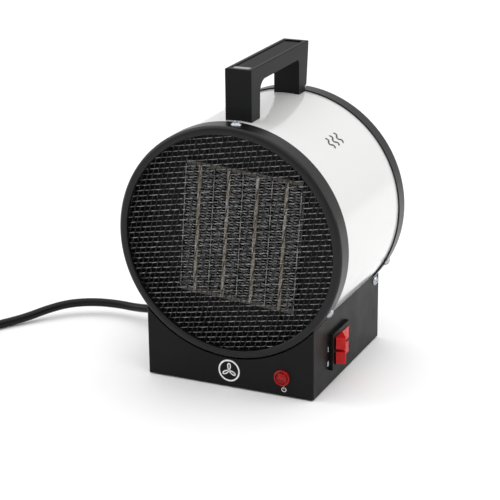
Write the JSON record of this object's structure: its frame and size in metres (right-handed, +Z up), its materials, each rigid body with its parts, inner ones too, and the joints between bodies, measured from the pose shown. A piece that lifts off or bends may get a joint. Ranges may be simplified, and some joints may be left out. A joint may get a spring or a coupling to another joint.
{
  "type": "ceramic fan heater",
  "caption": "Round white drum ceramic fan heater with black end rings, square black base, carrying handle, red rocker switches, indicator lamp and coiled mains lead",
  "frame": {"origin": "on the floor under the middle of the heater", "axes": "Z up, the outlet mesh faces -Y, +X is on the right of someone facing the heater"},
  "size_m": [0.4434, 0.1926, 0.241],
  "materials": {
    "black_enamel": "satin powder coat, slightly speckled",
    "white_enamel": "glossy white enamel",
    "black_ring": "semi-gloss enamel",
    "black_plastic": "fine grain",
    "guard_wire": "dark wire with a dull shine",
    "galvanised": "galvanised sheet",
    "ceramic": "beige-brown insulating film over the stones",
    "fin_aluminium": "thin corrugated sheet",
    "frame_plastic": "moulded heat-proof plastic",
    "zinc_screw": "zinc plated",
    "brass_metal": "plain",
    "laminations": "stacked sheets",
    "copper_winding": "varnished copper under tape",
    "steel_shaft": "ground",
    "fan_metal": "pressed",
    "rubber": "soft",
    "cord_pvc": "glossy black sheath",
    "red_rocker": "translucent red",
    "red_lens": "ribbed translucent red",
    "white_block": "plain",
    "wire_insulation": "coloured insulation"
  },
  "bodies": {
    "heater": {"front_ring": "black_ring", "rear_ring": "black_ring", "drum_shell": "white_enamel", "front_mesh": "guard_wire", "rear_mesh": "guard_wire", "ptc_heater_bar_1": "ceramic", "ptc_heater_bar_2": "ceramic", "ptc_heater_bar_3": "ceramic", "ptc_heater_bar_4": "ceramic", "ptc_fins_1": "fin_aluminium", "ptc_fins_2": "fin_aluminium", "ptc_fins_3": "fin_aluminium", "ptc_fins_4": "fin_aluminium", "ptc_plates": "fin_aluminium", "ptc_end_frame_upper": "frame_plastic", "ptc_end_frame_lower": "frame_plastic", "ptc_terminals": "brass_metal", "heat_baffle": "black_enamel", "ptc_bracket_upper": "black_enamel", "ptc_bracket_lower": "black_enamel", "thermal_cutout": "zinc_screw", "fan_shroud": "galvanised", "motor_bracket": "galvanised", "motor_stator": "laminations", "motor_coil": "copper_winding", "motor_end_front": "galvanised", "motor_end_rear": "galvanised", "motor_bushes": "brass_metal", "motor_screws": "zinc_screw", "base_housing": "black_enamel", "rear_panel": "black_enamel", "base_plate": "galvanised", "rubber_feet": "rubber", "drum_saddle_front": "galvanised", "drum_saddle_rear": "galvanised", "case_screws": "zinc_screw", "inner_screws": "black_enamel", "base_screws": "zinc_screw", "handle_body": "black_plastic", "handle_grip": "rubber", "handle_screws": "zinc_screw", "switch_housing": "black_plastic", "indicator_body": "red_lens", "indicator_lens": "red_lens", "terminal_block": "white_block", "cord_clamp": "white_block", "cord_end": "cord_pvc", "base_wiring": "wire_insulation", "cord_gland": "rubber", "power_cord": "cord_pvc", "power_cord_coil": "cord_pvc", "power_cord_tail": "cord_pvc", "plug_body": "rubber", "plug_pins": "brass_metal", "coil_tie": "black_plastic"},
    "fan": {"motor_shaft": "steel_shaft", "motor_rotor": "laminations", "fan_impeller": "fan_metal"},
    "rocker_upper": {"rocker_upper": "red_rocker"},
    "rocker_lower": {"rocker_lower": "red_rocker"}
  },
  "joints": [
    {"name": "fan_spin", "type": "hinge", "parent": "heater", "child": "fan", "pos_m": [0, 0.018, 0.114], "axis": [0, 1, 0], "continuous": true},
    {"name": "rocker_upper_tilt", "type": "hinge", "parent": "heater", "child": "rocker_upper", "pos_m": [0.0682, -0.019, 0.0332], "axis": [0, 0, 1], "range_deg": [-34, 0]},
    {"name": "rocker_lower_tilt", "type": "hinge", "parent": "heater", "child": "rocker_lower", "pos_m": [0.0682, -0.019, 0.0214], "axis": [0, 0, 1], "range_deg": [-34, 0]}
  ]
}
